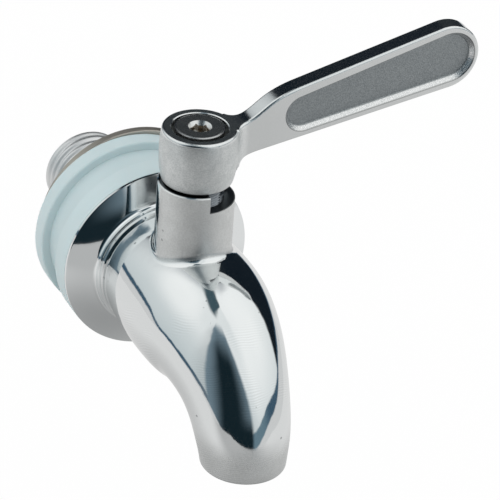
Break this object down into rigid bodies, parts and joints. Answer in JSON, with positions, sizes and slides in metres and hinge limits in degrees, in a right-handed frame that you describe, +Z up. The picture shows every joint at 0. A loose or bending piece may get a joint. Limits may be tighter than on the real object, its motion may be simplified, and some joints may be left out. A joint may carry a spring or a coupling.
{
  "type": "beverage dispenser spigot",
  "caption": "Quarter-turn ball valve tap for a drinks dispenser: curved spout with round neck, side lever with paddle, conical wall flange, threaded tail, stepped silicone washers and lock nut.",
  "frame": {"origin": "on the tail's axis, in the plane where the two silicone washers meet and the vessel wall is gripped", "axes": "+Y along the tail into the vessel, -Y to the spout, +Z up along the neck, +X along the closed lever"},
  "size_m": [0.0722, 0.0843, 0.0674],
  "materials": {
    "mirror_steel": "mirror polished stainless steel, satin at the spout's end and the neck",
    "satin_steel": "satin stainless steel, bead-blasted in the paddle's recess",
    "turned_steel": "turned stainless steel",
    "washer_steel": "pressed stainless steel, dull",
    "silicone": "translucent pale blue silicone",
    "seal_rubber": "black nitrile rubber",
    "ptfe": "white PTFE"
  },
  "bodies": {
    "tap": {"spout_body": "mirror_steel", "inlet_tail": "mirror_steel", "body_seal_ring": "seal_rubber", "front_washer": "silicone", "rear_washer": "silicone", "backing_washer": "washer_steel", "lock_nut": "turned_steel", "front_seat": "ptfe", "rear_seat": "ptfe", "packing_ring": "ptfe", "gland_ring": "turned_steel", "gland_nut": "turned_steel"},
    "handle": {"handle_lever": "satin_steel", "handle_screw": "turned_steel", "screw_washer": "turned_steel", "stem": "turned_steel", "thrust_ring": "ptfe", "lower_stem_ring": "seal_rubber", "upper_stem_ring": "seal_rubber", "valve_ball": "turned_steel"}
  },
  "joints": [
    {"name": "handle_turn", "type": "hinge", "parent": "tap", "child": "handle", "pos_m": [0, -0.023, 0], "axis": [0, 0, 1], "range_deg": [-90, 0]}
  ]
}
